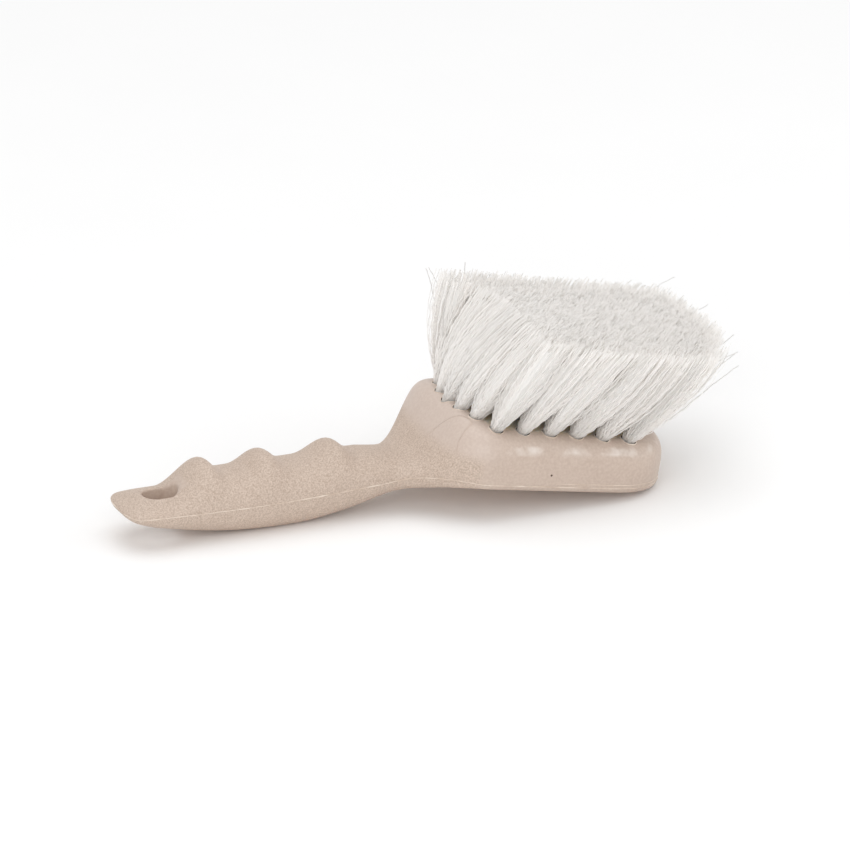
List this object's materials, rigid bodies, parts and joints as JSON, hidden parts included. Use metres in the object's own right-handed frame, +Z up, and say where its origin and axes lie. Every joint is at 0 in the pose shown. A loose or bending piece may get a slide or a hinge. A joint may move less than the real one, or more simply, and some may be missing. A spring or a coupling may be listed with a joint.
{
  "type": "utility scrub brush",
  "caption": "Hand brush with a one-piece moulded handle and flared block, finger notches, a hang slot, and long crimped nylon bristles set in tufts and trimmed flat.",
  "frame": {"origin": "centre of the bounding box's bottom: the table that the brush lies on", "axes": "+X from the handle's end towards the nose of the block, +Y to the left of that, +Z up, in the direction of the bristles. The brush lies on its back."},
  "size_m": [0.2442, 0.0744, 0.0741],
  "materials": {
    "tan_polypropylene": "fine pebbled grain on the handle, satin on the block",
    "white_nylon": "milky translucent crimped filaments"
  },
  "bodies": {
    "root": {"handle_block": "tan_polypropylene", "tuft_row_1_no_1": "white_nylon", "tuft_row_1_no_2": "white_nylon", "tuft_row_1_no_3": "white_nylon", "tuft_row_1_no_4": "white_nylon", "tuft_row_1_no_5": "white_nylon", "tuft_row_1_no_6": "white_nylon", "tuft_row_2_no_1": "white_nylon", "tuft_row_2_no_2": "white_nylon", "tuft_row_2_no_3": "white_nylon", "tuft_row_2_no_4": "white_nylon", "tuft_row_2_no_5": "white_nylon", "tuft_row_2_no_6": "white_nylon", "tuft_row_2_no_7": "white_nylon", "tuft_row_3_no_1": "white_nylon", "tuft_row_3_no_2": "white_nylon", "tuft_row_3_no_3": "white_nylon", "tuft_row_3_no_4": "white_nylon", "tuft_row_3_no_5": "white_nylon", "tuft_row_3_no_6": "white_nylon", "tuft_row_3_no_7": "white_nylon", "tuft_row_4_no_1": "white_nylon", "tuft_row_4_no_2": "white_nylon", "tuft_row_4_no_3": "white_nylon", "tuft_row_4_no_4": "white_nylon", "tuft_row_4_no_5": "white_nylon", "tuft_row_4_no_6": "white_nylon", "tuft_row_4_no_7": "white_nylon", "tuft_row_5_no_1": "white_nylon", "tuft_row_5_no_2": "white_nylon", "tuft_row_5_no_3": "white_nylon", "tuft_row_5_no_4": "white_nylon", "tuft_row_5_no_5": "white_nylon", "tuft_row_5_no_6": "white_nylon", "tuft_row_5_no_7": "white_nylon", "tuft_row_6_no_1": "white_nylon", "tuft_row_6_no_2": "white_nylon", "tuft_row_6_no_3": "white_nylon", "tuft_row_6_no_4": "white_nylon", "tuft_row_6_no_5": "white_nylon", "tuft_row_6_no_6": "white_nylon", "tuft_row_6_no_7": "white_nylon", "tuft_row_7_no_1": "white_nylon", "tuft_row_7_no_2": "white_nylon", "tuft_row_7_no_3": "white_nylon", "tuft_row_7_no_4": "white_nylon", "tuft_row_7_no_5": "white_nylon", "tuft_row_7_no_6": "white_nylon"}
  },
  "joints": []
}
